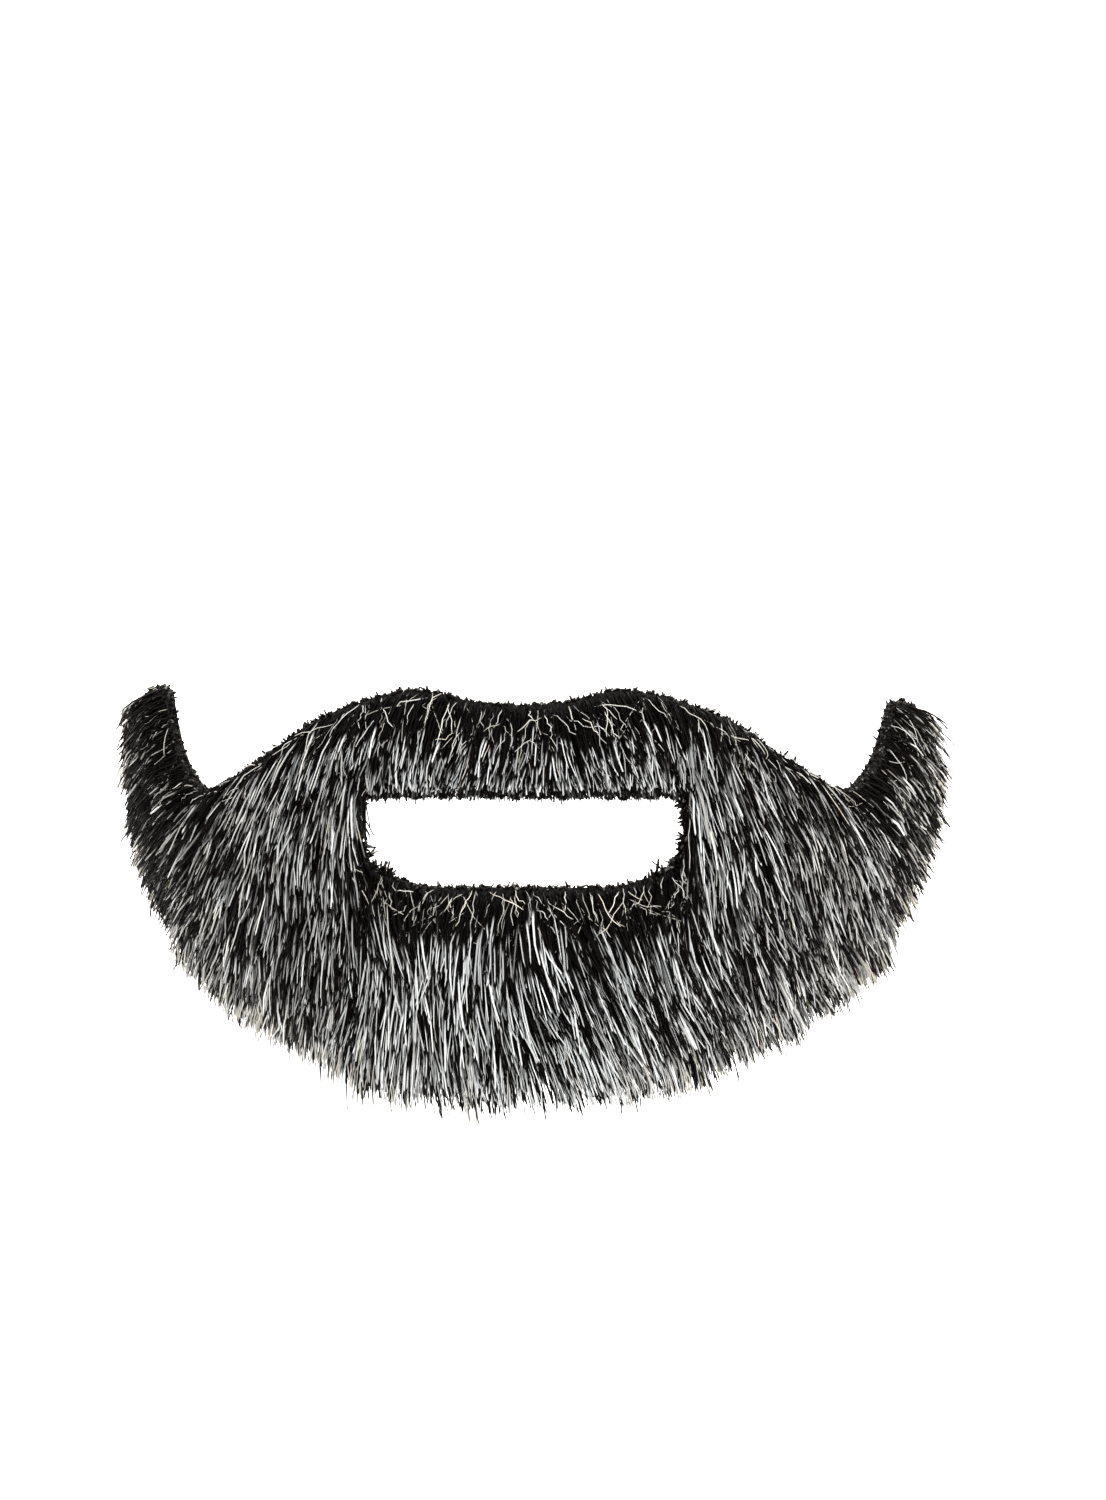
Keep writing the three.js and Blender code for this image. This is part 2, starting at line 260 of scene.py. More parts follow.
def scatter(faces, corner_normals, count):
    """Points spread evenly by area over some of the shell's faces, and the normals there."""
    corners = shell_points[faces]
    areas = face_areas(faces)
    pick = chance.choice(len(faces), count, p=areas / areas.sum())
    a, b = chance.random((2, count, 1))
    a, b = np.where(a + b > 1, 1 - a, a), np.where(a + b > 1, 1 - b, b)
    shares = (1 - a - b, a, b)
    points = sum(share * corners[pick, k] for k, share in enumerate(shares))
    normals = sum(share * corner_normals[pick, k] for k, share in enumerate(shares))
    return points, unit(normals)


front_faces = shell_faces[front]
front_normals = smooth_corner_normals(front_faces, face_normals[front])
rim_faces = shell_faces[rim]
rim_normals = np.repeat(face_normals[rim][:, None, :], 3, axis=1)
front_area = face_areas(front_faces).sum()
print(f"front faces {front.sum()}, rim faces {rim.sum()}, cloth {front_area * 1e4:.0f} cm2")

# %% [markdown]
# ## Which way the hair is combed
# Hair hangs nearly straight down beside the middle of the beard and is combed further back the
# nearer it is to the sideburns. It isn't quite even: low down, the viewer's right leans more than
# the left. A short table gives the lean in degrees from straight down, positive to the viewer's
# left, for places round the beard and at three heights. Every root reads its own lean between them.

# %% Comb the hair
COMB_TURNS = [-80, -65, -53, -40, -30, -20, -10, 0, 10, 20, 30, 40, 53, 65, 80]
COMB_DROPS = [6 * MM, 28 * MM, 52 * MM]
COMB_LEANS = [
    [46, 54, 38, 19, 13, 6, 13, 8, -16, -15, -9, -14, -29, -40, -44],
    [46, 55, 30, 5, -5, -11, 10, 3, -19, -11, -9, -17, -25, -40, -44],
    [54, 48, 22, 17, 12, -9, -7, -20, -20, -25, -25, -34, -40, -48, -50],
]


def turn_of(normals):
    """How far round the beard each place is: 0 at the front, 90 degrees at the viewer's right."""
    return np.degrees(np.arctan2(normals[:, 0], -normals[:, 1]))


def combed(normals, points):
    """The direction along the cloth in which the hair lies at each point."""
    at_heights = np.stack([np.interp(turn_of(normals), COMB_TURNS, row) for row in COMB_LEANS])
    place = np.interp(-points[:, 2], COMB_DROPS, [0, 1, 2])
    above = np.minimum(place.astype(int), 1)
    which = np.arange(len(points))
    share = place - above
    lean = np.radians(at_heights[above, which] * (1 - share) + at_heights[above + 1, which] * share)
    down = unit(np.array([0, 0, -1.0]) + normals * normals[:, 2:3])
    left = unit(np.stack([normals[:, 1], -normals[:, 0], np.zeros(len(normals))], axis=1))
    return np.cos(lean)[:, None] * down + np.sin(lean)[:, None] * left


print(f"comb: {len(COMB_TURNS)} places round the beard at {len(COMB_DROPS)} heights")

# %% [markdown]
# ## Fibres as one mesh
# A fibre is a closed three-sided tube: the fewest faces that still look round when they are
# shaded smoothly. It is cut off bluntly, as sheared pile is. Thousands of them are made as
# arrays and joined in one mesh for each area of hair, because an operator run once for each
# fibre would take hours. Each point keeps how far along its fibre it is, how light the fibre
# is, how warm its colour is and where its frosting starts, for the material.

# %% Tubes as arrays
TUBE_SIDES = 3


def tubes(paths, thickness, **values):
    """A batch of tubes along the paths: points, corners of faces, and values on the points."""
    count, steps = paths.shape[0], paths.shape[1] - 1
    tangents = unit(np.gradient(paths, axis=1))[:, :steps]
    across = unit(np.cross(tangents, chance.normal(size=(count, 1, 3))))
    upright = np.cross(across, tangents)
    angles = (np.arange(TUBE_SIDES) * math.tau / TUBE_SIDES)[:, None]
    ring = across[:, :, None] * np.cos(angles) + upright[:, :, None] * np.sin(angles)
    rings = paths[:, :steps, None] + ring * (thickness / 2)[:, :, None, None]
    points = np.concatenate([rings.reshape(count, -1, 3), paths[:, steps:]], axis=1)

    pairs = [(k, (k + 1) % TUBE_SIDES) for k in range(TUBE_SIDES)]
    lows = np.arange(0, (steps - 1) * TUBE_SIDES, TUBE_SIDES)
    quads = [
        [low + k, low + n, low + TUBE_SIDES + n, low + TUBE_SIDES + k] for low in lows for k, n in pairs
    ]
    last, tip = (steps - 1) * TUBE_SIDES, steps * TUBE_SIDES
    root_end = [2, 1, 0]
    triangles = [[last + k, last + n, tip] for k, n in pairs] + [root_end]
    first_points = (np.arange(count) * points.shape[1])[:, None, None]

    lengths = np.linalg.norm(np.diff(paths, axis=1), axis=2).cumsum(axis=1)
    shares = np.concatenate([np.zeros((count, 1)), lengths / lengths[:, -1:]], axis=1)
    at_rings = np.repeat(shares[:, :steps], TUBE_SIDES, axis=1)
    on_points = {key: np.repeat(value, points.shape[1]) for key, value in values.items()}
    on_points["along"] = np.concatenate([at_rings, shares[:, steps:]], axis=1).ravel()
    return {
        "count": count,
        "points": points.reshape(-1, 3),
        "quads": (np.array(quads)[None] + first_points).reshape(-1, 4),
        "triangles": (np.array(triangles)[None] + first_points).reshape(-1, 3),
        "values": on_points,
    }


print(f"a fibre has {TUBE_SIDES} sides")

# %% [markdown]
# Blender takes a whole mesh as arrays as well: the points, the points that each corner of a face
# uses, and where the corners of each face start. That is quick even for 160,000 triangles.

# %% Tubes to a piece
def fibre_piece(name, *batches):
    """One piece from batches of tubes. It rides on the body."""
    starts = np.cumsum([0] + [len(batch["points"]) for batch in batches])
    points = np.concatenate([batch["points"] for batch in batches])
    quads = np.concatenate([batch["quads"] + start for batch, start in zip(batches, starts)])
    triangles = np.concatenate([batch["triangles"] + start for batch, start in zip(batches, starts)])
    mesh = bpy.data.meshes.new(name)
    mesh.vertices.add(len(points))
    mesh.vertices.foreach_set("co", points.ravel())
    mesh.loops.add(quads.size + triangles.size)
    mesh.loops.foreach_set("vertex_index", np.concatenate([quads.ravel(), triangles.ravel()]))
    mesh.polygons.add(len(quads) + len(triangles))
    quad_starts = np.arange(0, quads.size, 4)
    triangle_starts = quads.size + np.arange(0, triangles.size, 3)
    mesh.polygons.foreach_set("loop_start", np.concatenate([quad_starts, triangle_starts]))
    mesh.update(calc_edges=True)
    mesh.shade_smooth()
    for key in batches[0]["values"]:
        value = np.concatenate([batch["values"][key] for batch in batches]).astype(np.float32)
        mesh.attributes.new(key, "FLOAT", "POINT").data.foreach_set("value", value)
    piece = bpy.data.objects.new(name, mesh)
    scene.collection.objects.link(piece)
    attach(piece, "root")
    fibre_count = sum(batch["count"] for batch in batches)
    print(f"{name}: {fibre_count} fibres, {2 * len(quads) + len(triangles)} triangles")
    return piece


print("helper: fibre_piece")

# %% [markdown]
# ## Where the hair starts
# Short black fibres stand close together and cover the ground, and longer guard fibres lie over
# them. Some of those are only dyed. The light ones, with frosted ends, stand a little apart, so
# that each shows as a stroke of its own with black beside it. Along a lower edge the hair hangs
# past the cloth: more ground fibres close the fringe there, and thin light tips end it.
# Neighbours lean the same way, so each fibre takes after its nearest wisp.

# %% Helpers for placing
def tree_of(points):
    """A tree that finds the nearest of the points."""
    tree = kdtree.KDTree(len(points))
    for i, p in enumerate(points):
        tree.insert(Vector(p), i)
    tree.balance()
    return tree


def nearest(tree, points):
    """The index of the tree's nearest point to each of the points."""
    return np.array([tree.find(Vector(p))[1] for p in points])


def spaced(points, gaps):
    """Marks points, taken in turn, that keep their gap from the points marked before them."""
    tree = tree_of(points)
    marked = np.zeros(len(points), bool)
    for i, (p, gap) in enumerate(zip(points, gaps)):
        marked[i] = not any(marked[j] for _, j, _ in tree.find_range(Vector(p), gap))
    return marked


print("helpers: tree_of, nearest, spaced")

# %% [markdown]
# The cut edges of the cloth matter to the look. Below an upper edge no hair hangs over the
# roots, so they show as a black band, and at a lower edge the tips hang free. The border between
# the front and the rim gives each root its distance from the nearest edge, and whether the hair
# starts there or ends there.

# %% Measure from the edges
edge_use = {}
for index in np.flatnonzero(front | rim):
    corners = shell_faces[index]
    for k in range(3):
        key = tuple(sorted((int(corners[k]), int(corners[(k + 1) % 3]))))
        edge_use.setdefault(key, []).append(bool(front[index]))
between = [key for key, sides in edge_use.items() if len(sides) == 2 and sides.count(True) == 1]
border = np.array(between)
one_end, other_end = shell_points[border[:, 0]], shell_points[border[:, 1]]
edge_marks = np.concatenate([one_end * (1 - share) + other_end * share for share in (0, 0.25, 0.5, 0.75)])
edge_tree = tree_of(edge_marks)


def from_edges(points, normals):
    """The distance to the nearest cut edge, and 1 where hair starts there down to -1 where it ends."""
    to_edge = edge_marks[nearest(edge_tree, points)] - points
    starts_here = -(unit(to_edge) * combed(normals, points)).sum(axis=1)
    return np.linalg.norm(to_edge, axis=1), starts_here


print(f"border edges {len(border)}, marks {len(edge_marks)}")

# %% [markdown]
# The candidates for light fibres and for wisps are tried one after another, and one that comes
# too near to one already taken is left out. That spaces them more evenly than chance does.

# %% Place the fibres
GROUND_COUNT = 16000
FRINGE_COUNT = 44000
TIP_COUNT = 4000
DYED_COUNT = 5600
CANDIDATE_COUNT = 30000
LIGHT_GAP = 0.74 * MM
FRINGE_GAP_SHARE = 0.78
WISP_GAP = 2.2 * MM
LIGHT_FRINGE = 6 * MM
TIP_FRINGE = 5 * MM
GROUND_FRINGE = 3.5 * MM
ENDS_HERE = -0.3


def in_fringe(points, normals, breadth):
    """Whether each place lies along a lower edge, where the hair hangs past the cloth."""
    distance, start = from_edges(points, normals)
    return (distance < breadth) & (start < ENDS_HERE)


def scatter_in_fringe(tries, breadth):
    """Scattered points and their normals, of which only those along the lower edges are kept."""
    points, normals = scatter(front_faces, front_normals, tries)
    kept = in_fringe(points, normals, breadth)
    return points[kept], normals[kept]


candidates, candidate_normals = scatter(front_faces, front_normals, CANDIDATE_COUNT)
fringe_marks = in_fringe(candidates, candidate_normals, LIGHT_FRINGE)
light_ones = spaced(candidates, np.where(fringe_marks, FRINGE_GAP_SHARE, 1) * LIGHT_GAP)
groups = [
    ("light", candidates[light_ones], candidate_normals[light_ones]),
    ("tip", *scatter_in_fringe(TIP_COUNT, TIP_FRINGE)),
    ("dyed", *scatter(front_faces, front_normals, DYED_COUNT)),
    ("ground", *scatter(front_faces, front_normals, GROUND_COUNT)),
    ("ground", *scatter_in_fringe(FRINGE_COUNT, GROUND_FRINGE)),
]
kinds = np.concatenate([np.full(len(points), kind) for kind, points, _ in groups])
roots = np.concatenate([points for _, points, _ in groups])
normals = np.concatenate([directions for _, _, directions in groups])
fibre_count = len(roots)

wisp_points = candidates[spaced(candidates, np.full(len(candidates), WISP_GAP))]
wisp_of = nearest(tree_of(wisp_points), roots)
edge_distance, starts_here = from_edges(roots, normals)
print({kind: int((kinds == kind).sum()) for kind in np.unique(kinds)}, len(wisp_points), "wisps")

# %% [markdown]
# Each area of hair is its own piece, as in the CAD model. A fibre belongs to the area whose
# solid is the nearest to its wisp.

# %% Share the fibres out
INTO_THE_HAIR = 1.5 * MM

hair_nodes = sorted(name for name in nodes if "hair" in name)
hair_trees = []
for name in hair_nodes:
    solid = bmesh.new()
    solid.from_mesh(nodes[name].data)
    hair_trees.append(BVHTree.FromBMesh(solid))
    solid.free()
in_the_hair = wisp_points + unit(wisp_points - INNER_POINT) * INTO_THE_HAIR
distances = [[tree.find_nearest(Vector(p))[3] for tree in hair_trees] for p in in_the_hair]
area_of = np.array(distances).argmin(axis=1)[wisp_of]
area = np.array([name.split("_")[0] for name in hair_nodes])[area_of]
print({name: int((area_of == i).sum()) for i, name in enumerate(hair_nodes)})

# %% [markdown]
# ## Growing the hair
# A fibre leaves the cloth steeply and bends over until it lies along the hair below it. Its
# steepness is its lift, which settles along the fibre to a last lift. The sideburns lie flatter.
# Over the mouth opening the hair is cut level with it, and beside it a few fibres bend into it.

# %% Directions and lengths
HAIR_LENGTH = {"moustache": 10.5, "chin": 15.4, "cheek": 13.2, "sideburn": 9.8}  # mm
GROUND_LENGTH_SHARE = 0.58
HAIR_LIFT = 56
SIDEBURN_LIFT = 36
GROUND_LIFT_LESS = 10
HAIR_BELOW_EDGE = 0.7 * MM
MOUTH_MEASURED_AT = 6 * MM
MOUTH_WITHIN = 36 * MM
MOUTH_OVERHANG = 0.45 * MM
SHORTEST = 1.6 * MM
SLANT_TO_LENGTH = 0.9
BEND_INTO_MOUTH = 2.8 * MM
FREE_FRINGE = 6 * MM
SIDEBURN_TOP = 1.6 * MM

mouth_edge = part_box("moustache_hair")[0].z + HAIR_BELOW_EDGE
beside = np.abs(edge_marks[:, 2] - mouth_edge + MOUTH_MEASURED_AT) < 2 * MM
beside &= np.abs(edge_marks[:, 0]) < MOUTH_WITHIN
mouth_left, mouth_right = edge_marks[beside, 0].min(), edge_marks[beside, 0].max()
print(f"mouth from {mouth_left / MM:.1f} to {mouth_right / MM:.1f} mm, top at {mouth_edge / MM:.1f} mm")


def turned(directions, normals, degrees):
    """The directions, turned about the normals."""
    angle = np.radians(degrees)[:, None]
    return np.cos(angle) * directions + np.sin(angle) * np.cross(normals, directions)


def each(wisp_spread, own_spread):
    """A value for each fibre: what its wisp has, and a part of its own."""
    of_wisps = chance.normal(0, wisp_spread, len(wisp_points))
    return of_wisps[wisp_of] + chance.normal(0, own_spread, fibre_count)


def ripple(points, spacing):
    """A smooth value, mostly between -1 and 1, that rises and falls about once each spacing."""
    value = np.zeros(len(points))
    for _ in range(4):
        heading = unit(chance.normal(size=3))
        value += np.sin(points @ heading * math.tau / spacing + chance.uniform(0, math.tau))
    return value / 2


ground = kinds == "ground"
turn = np.abs(turn_of(normals))
hangs_free = np.exp(-edge_distance / FREE_FRINGE) * (starts_here < ENDS_HERE) * (area != "moustache")
own_turn = each(3, 3) + 4 * ripple(roots, 15 * MM)
bend = each(4, 7)
on_side = area == "sideburn"
side_top = np.exp(-edge_distance / SIDEBURN_TOP) * (starts_here > 0) * on_side
lift = np.where(on_side, SIDEBURN_LIFT, HAIR_LIFT) - np.where(ground, GROUND_LIFT_LESS, 0)
lift = lift + 20 * side_top
lift = np.radians(np.clip(lift + each(5, 6), 12, 88))
settling = np.where(on_side, 1.0, np.interp(turn, [45, 70], [2.4, 1.5]))
last_lift = np.where(ground, 0, 5) + 2 * on_side + 8 * side_top + each(1.5, 3)
last_lift = np.radians(last_lift + 11 * hangs_free * np.interp(turn_of(normals), [30, 55], [0, 1]))
length = np.array([HAIR_LENGTH[name] for name in area])
length = length * np.where(ground, GROUND_LENGTH_SHARE + 0.4 * hangs_free, 1) * MM
length *= np.clip(1 + each(0.03, 0.07), 0.6, 1.3) * (1 - 0.2 * side_top)
length *= np.where(kinds == "tip", 1 + 0.3 * chance.random(fibre_count) * hangs_free, 1)

room = roots[:, 2] - mouth_edge + np.where(ground, 0.3, -0.5) * MM
room += np.abs(chance.normal(0, MOUTH_OVERHANG, fibre_count))
feet = roots + combed(normals, roots) * np.maximum(room, 0)[:, None]
over_mouth = (area == "moustache") & (feet[:, 0] > mouth_left) & (feet[:, 0] < mouth_right)
cut_level = np.clip(np.minimum(length, room / SLANT_TO_LENGTH), SHORTEST, None)
length = np.where(over_mouth, cut_level, length)

beside_mouth = np.abs(roots[:, 2] - mouth_edge + 3 * MM) < 7 * MM
to_left, to_right = mouth_left - roots[:, 0], roots[:, 0] - mouth_right
into_mouth = np.exp(-np.abs(to_left) / (2 * MM)) * (to_left > -0.5 * MM)
into_mouth -= np.exp(-np.abs(to_right) / (2 * MM)) * (to_right > -0.5 * MM)
into_mouth *= BEND_INTO_MOUTH * beside_mouth
print(f"fibres over the mouth {over_mouth.sum()}, mean lift {np.degrees(lift).mean():.0f} degrees")

# %% [markdown]
# All fibres of a kind grow at once, one step after another. At each step a fibre reads the comb
# where it is, turns by its own amount and rises by what is left of its lift. Then the fibres of
# a wisp are drawn together towards their tips, and a little unevenness takes the stiffness out.

# %% Paths of the fibres
GROUND_STEPS = np.array([0, 0.4, 0.95, 1.0])
DYED_STEPS = np.array([0, 0.2, 0.52, 0.96, 1.0])
GUARD_STEPS = np.array([0, 0.12, 0.28, 0.5, 0.75, 0.97, 1.0])
ROOT_DEPTH = 0.3 * MM
GATHERING = 0.2


def grow(which, step_shares, unevenness):
    """Paths of some of the fibres, stepping from the root to the tip and following the comb."""
    own_normals = normals[which]
    paths = np.zeros((len(which), len(step_shares), 3))
    paths[:, 0] = roots[which] - own_normals * ROOT_DEPTH
    for k in range(1, len(step_shares)):
        share = (step_shares[k] + step_shares[k - 1]) / 2
        here = paths[:, k - 1]
        up = unit(own_normals + looks_out(here) - looks_out(roots[which]))
        heading = turned(combed(up, here), up, own_turn[which] + bend[which] * share)
        rise = (lift[which] * (1 - share) ** settling[which] + last_lift[which])[:, None]
        stride = (length[which] * (step_shares[k] - step_shares[k - 1]))[:, None]
        paths[:, k] = here + stride * (np.cos(rise) * heading + np.sin(rise) * up)
    offset = roots[which] - wisp_points[wisp_of[which]]
    offset -= own_normals * (offset * own_normals).sum(axis=1, keepdims=True)
    gathered = GATHERING * (1 - hangs_free[which])[:, None, None] * step_shares[None, :, None]
    paths -= offset[:, None] * gathered
    paths[:, :, 0] += into_mouth[which][:, None] * step_shares
    jitter = chance.normal(0, unevenness, paths.shape)
    jitter[:, 0] = 0
    jitter[:, -1] = jitter[:, -2]
    return paths + jitter


for label, step_shares in (("ground", GROUND_STEPS), ("dyed", DYED_STEPS), ("guard", GUARD_STEPS)):
    print(f"a {label} fibre grows in {len(step_shares) - 1} steps")

# %% [markdown]
# The material reads three values of each fibre. Its tone says how light its end is, and some of
# the guard fibres, most of all in the sideburns and below the notch at the viewer's left, stay
# plain black. Its frost says how far along it the light part starts, and its warmth how creamy
# that part is.

# %% Tone and thickness of the fibres
LIGHT_TONE = {"moustache": 0.7, "chin": 0.72, "cheek": 0.53, "sideburn": 0.46}
PLAIN_SHARE = {"moustache": 0.2, "chin": 0.16, "cheek": 0.12, "sideburn": 0.75}
PLAIN_UNDER_NOTCH = 0.8
RIGHT_SIDEBURN_LESS_PLAIN = 0.3
LIGHT_WIDTH = 0.29  # mm, as the next two
TIP_WIDTH = 0.21
OTHER_WIDTH = 0.28

plain_share = np.array([PLAIN_SHARE[name] for name in area])
plain_share = plain_share - RIGHT_SIDEBURN_LESS_PLAIN * (on_side & (roots[:, 0] > 0))
under_notch = np.interp(turn_of(normals), [-64, -44], [1, 0])
under_notch = under_notch * np.interp(roots[:, 2], [-36 * MM, -24 * MM], [0, 1])
plain = chance.random(fibre_count) < plain_share + (PLAIN_UNDER_NOTCH - plain_share) * under_notch
tone = np.array([LIGHT_TONE[name] for name in area]) + each(0.05, 0.3) + 0.07 * ripple(roots, 9 * MM)
tone = np.clip(tone + 0.1 * hangs_free, 0.12, 1) * (kinds == "light") * ~plain
tone = np.where(kinds == "tip", np.clip(chance.normal(0.75, 0.15, fibre_count), 0, 1), tone)
tone = np.where(ground, np.clip(chance.normal(-0.05, 0.1, fibre_count), 0, 0.25), tone)
near_top = np.exp(-edge_distance / (3 * MM)) * (starts_here > 0.3)
frost = np.where(area == "moustache", 0.52, 0.47)
frost += np.where(area == "moustache", 0.26, 0.16) * near_top
frost = np.clip(frost + each(0.05, 0.13), 0.12, 0.85)
warmth = np.clip(turn / 110 - 0.25 + 0.5 * (kinds == "tip") + each(0.1, 0.15), 0, 1)
width = np.select([kinds == "light", kinds == "tip"], [LIGHT_WIDTH, TIP_WIDTH], OTHER_WIDTH)
width = width * np.clip(1 + each(0.05, 0.28), 0.45, 1.7) * MM
print(f"mean length {length.mean() / MM:.1f} mm, light fibres {(tone > 0.3).mean():.0%}")

# %% [markdown]
# ## The material of the fibres
# Modacrylic fibre is extruded and dyed black, and its tips are bleached by frosting. The eye
# sees black roots, cool silver strokes near the middle of the beard and warmer, creamier ones
# towards the sideburns. The shine is kept faint, so that the roots stay deep black.

# %% Fibre material
FROSTING_FADE = 0.12
BLACK_COOL = "#0b0807"
BLACK_WARM = "#130d0a"
SILVER = "#eef0f1"
CREAM = "#f0e6d6"


def mix_colours(tree, factor, a, b):
    """A mix of two colours. Those sockets share their names with plain numbers, so go by place."""
    return add_node(tree, "Mix", {0: factor, 6: a, 7: b}, data_type="RGBA").outputs[2]


fibre_material, tree, shader = new_material("frosted_modacrylic_fibre")
along = add_node(tree, "Attribute", attribute_name="along").outputs["Fac"]
tone_value = add_node(tree, "Attribute", attribute_name="tone").outputs["Fac"]
warm = add_node(tree, "Attribute", attribute_name="warmth").outputs["Fac"]
black = mix_colours(tree, warm, colour(BLACK_COOL), colour(BLACK_WARM))
light = mix_colours(tree, warm, colour(SILVER), colour(CREAM))
begins = add_node(tree, "Attribute", attribute_name="frost").outputs["Fac"]
full = add_node(tree, "Math", {0: begins, 1: FROSTING_FADE}, operation="ADD").outputs[0]
reach = {"Value": along, "From Min": begins, "From Max": full}
past = add_node(tree, "MapRange", reach, interpolation_type="SMOOTHSTEP").outputs["Result"]
frosted = add_node(tree, "Math", {0: past, 1: tone_value}, operation="MULTIPLY").outputs[0]
tree.links.new(mix_colours(tree, frosted, black, light), shader.inputs["Base Color"])
shader.inputs["Roughness"].default_value = 0.45
shader.inputs["IOR"].default_value = 1.5
shader.inputs["Specular IOR Level"].default_value = 0.06
print("material:", fibre_material.name)

# %% [markdown]
# ## The pieces of hair
# Each area becomes one mesh of three batches, which differ in how many steps a fibre takes, how
# uneven it is and how its thickness changes from the root to the tip.

# %% Make one piece for each area of hair
def batch_of(which, step_shares, unevenness, taper):
    """Tubes for some of the fibres."""
    return tubes(
        grow(which, step_shares, unevenness),
        width[which][:, None] * np.array(taper)[None],
        tone=tone[which],
        warmth=warmth[which],
        frost=frost[which],
    )


for index, name in enumerate(hair_nodes):
    short_ones = np.flatnonzero((area_of == index) & ground)
    dyed_ones = np.flatnonzero((area_of == index) & (kinds == "dyed"))
    frosted_ones = np.flatnonzero((area_of == index) & ((kinds == "light") | (kinds == "tip")))
    piece = fibre_piece(
        name.replace("hair", "fibres"),
        batch_of(short_ones, GROUND_STEPS, 0.12 * MM, [0.9, 1, 0.8]),
        batch_of(dyed_ones, DYED_STEPS, 0.1 * MM, [0.8, 0.95, 1, 0.75]),
        batch_of(frosted_ones, GUARD_STEPS, 0.09 * MM, [0.8, 0.9, 1, 1, 0.95, 0.75]),
    )
    piece.data.materials.append(fibre_material)
    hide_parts(name)

# %% [markdown]
# ## Tufts along the cut edges
# Where the fabric is cut, the blades leave short stubs of black fibre that curl over the cut and
# hide it. They make the outline of the beard look crumbly from near by. Round the mouth they are
# longer, most of all in its lower corners.

# %% Edge tufts
TUFT_COUNT = 5500
TUFT_LENGTH = 0.46 * MM
TUFT_WIDTH = 0.5  # mm
TUFT_CURL = 0.3 * MM
CORNER_TUFTS = 3.4
TOP_TUFTS = 1.5
SIDE_TUFTS = 2.2

rim_points, rim_directions = scatter(rim_faces, rim_normals, TUFT_COUNT)
outwards = unit(rim_points - INNER_POINT)
headings = unit(rim_directions + 0.5 * outwards + chance.normal(0, 0.55, (TUFT_COUNT, 3)))
tuft_length = TUFT_LENGTH * np.clip(chance.normal(1, 0.3, TUFT_COUNT), 0.4, 2)
at_mouth = np.abs(rim_points[:, 2] - mouth_edge + 8 * MM) < 10 * MM
at_mouth &= np.abs(rim_points[:, 0]) < 32 * MM
at_corner = at_mouth & (rim_points[:, 2] < mouth_edge - 7 * MM) & (np.abs(rim_directions[:, 0]) > 0.25)
at_top = at_mouth & (rim_directions[:, 2] < -0.6)
at_side = at_mouth & (np.abs(rim_directions[:, 0]) > 0.6)
tuft_length *= np.select([at_corner, at_top, at_side], [CORNER_TUFTS, TOP_TUFTS, SIDE_TUFTS], 1)
tuft_shares = np.array([0, 0.5, 0.93, 1.0])
tuft_paths = rim_points[:, None] - rim_directions[:, None] * 0.2 * MM
tuft_paths = tuft_paths + headings[:, None] * (tuft_length[:, None] * tuft_shares)[:, :, None]
curl = chance.normal(0, TUFT_CURL, (TUFT_COUNT, 1, 3)) * np.where(at_corner, 2, 1)[:, None, None]
tuft_paths += curl * (tuft_shares**2)[None, :, None]
tuft_width = np.clip(chance.normal(TUFT_WIDTH, 0.12, TUFT_COUNT), 0.25, 0.8) * MM
tuft_batch = tubes(
    tuft_paths,
    tuft_width[:, None] * np.array([1, 1, 0.7])[None],
    tone=np.clip(chance.normal(-0.05, 0.12, TUFT_COUNT), 0, 0.35),
    warmth=np.clip(chance.normal(0.6, 0.2, TUFT_COUNT), 0, 1),
    frost=np.full(TUFT_COUNT, 0.5),
)
tufts = fibre_piece("cut_edge_tufts", tuft_batch)
tufts.data.materials.append(fibre_material)

# %% [markdown]
# ## Stray fibres
# Over the black roots lie single crooked fibres that came loose in the cutting. They are thinner
# than the rest, frosted all along and kinked where they were pressed.

# %% Strays
STRAY_COUNT = 950
STRAY_LENGTH = 6.6  # mm, as the next
STRAY_WIDTH = 0.13
STRAY_TURN = 27
STRAY_SHARES = np.array([0, 0.16, 0.32, 0.48, 0.64, 0.8, 0.97, 1.0])

chance_of_stray = np.exp(-edge_distance / (3.5 * MM)) * (starts_here > 0.2) + 0.02
chance_of_stray *= np.select([area == "moustache", area == "sideburn"], [0.5, 0.3], 1)
chance_of_stray = chance_of_stray / chance_of_stray.sum()
picked = chance.choice(fibre_count, STRAY_COUNT, replace=False, p=chance_of_stray)
stray_flow = combed(normals[picked], roots[picked])
stray_flow = turned(stray_flow, normals[picked], chance.normal(0, STRAY_TURN, STRAY_COUNT))
stray_side = np.cross(normals[picked], stray_flow)
stray_length = np.clip(chance.normal(STRAY_LENGTH, 2.2, STRAY_COUNT), 2, 11) * MM
stray_room = (roots[picked, 2] - mouth_edge) / SLANT_TO_LENGTH
stray_cut = np.clip(stray_room, 1.5 * MM, stray_length)
stray_length = np.where(area[picked] == "moustache", stray_cut, stray_length)
stray_height = chance.uniform(1.6, 4.2, STRAY_COUNT) * MM
climb = 1 - (1 - STRAY_SHARES) ** 2.2
kinks = chance.normal(0, 0.28 * MM, (STRAY_COUNT, len(STRAY_SHARES))).cumsum(axis=1)
kinks[:, 0] = 0
kinks[:, -1] = kinks[:, -2]
stray_paths = (
    roots[picked][:, None]
    + stray_flow[:, None] * (stray_length[:, None] * STRAY_SHARES)[:, :, None]
    + normals[picked][:, None] * (stray_height[:, None] * climb)[:, :, None]
    + stray_side[:, None] * kinks[:, :, None]
)
stray_width = np.clip(chance.normal(STRAY_WIDTH, 0.03, STRAY_COUNT), 0.07, 0.2) * MM
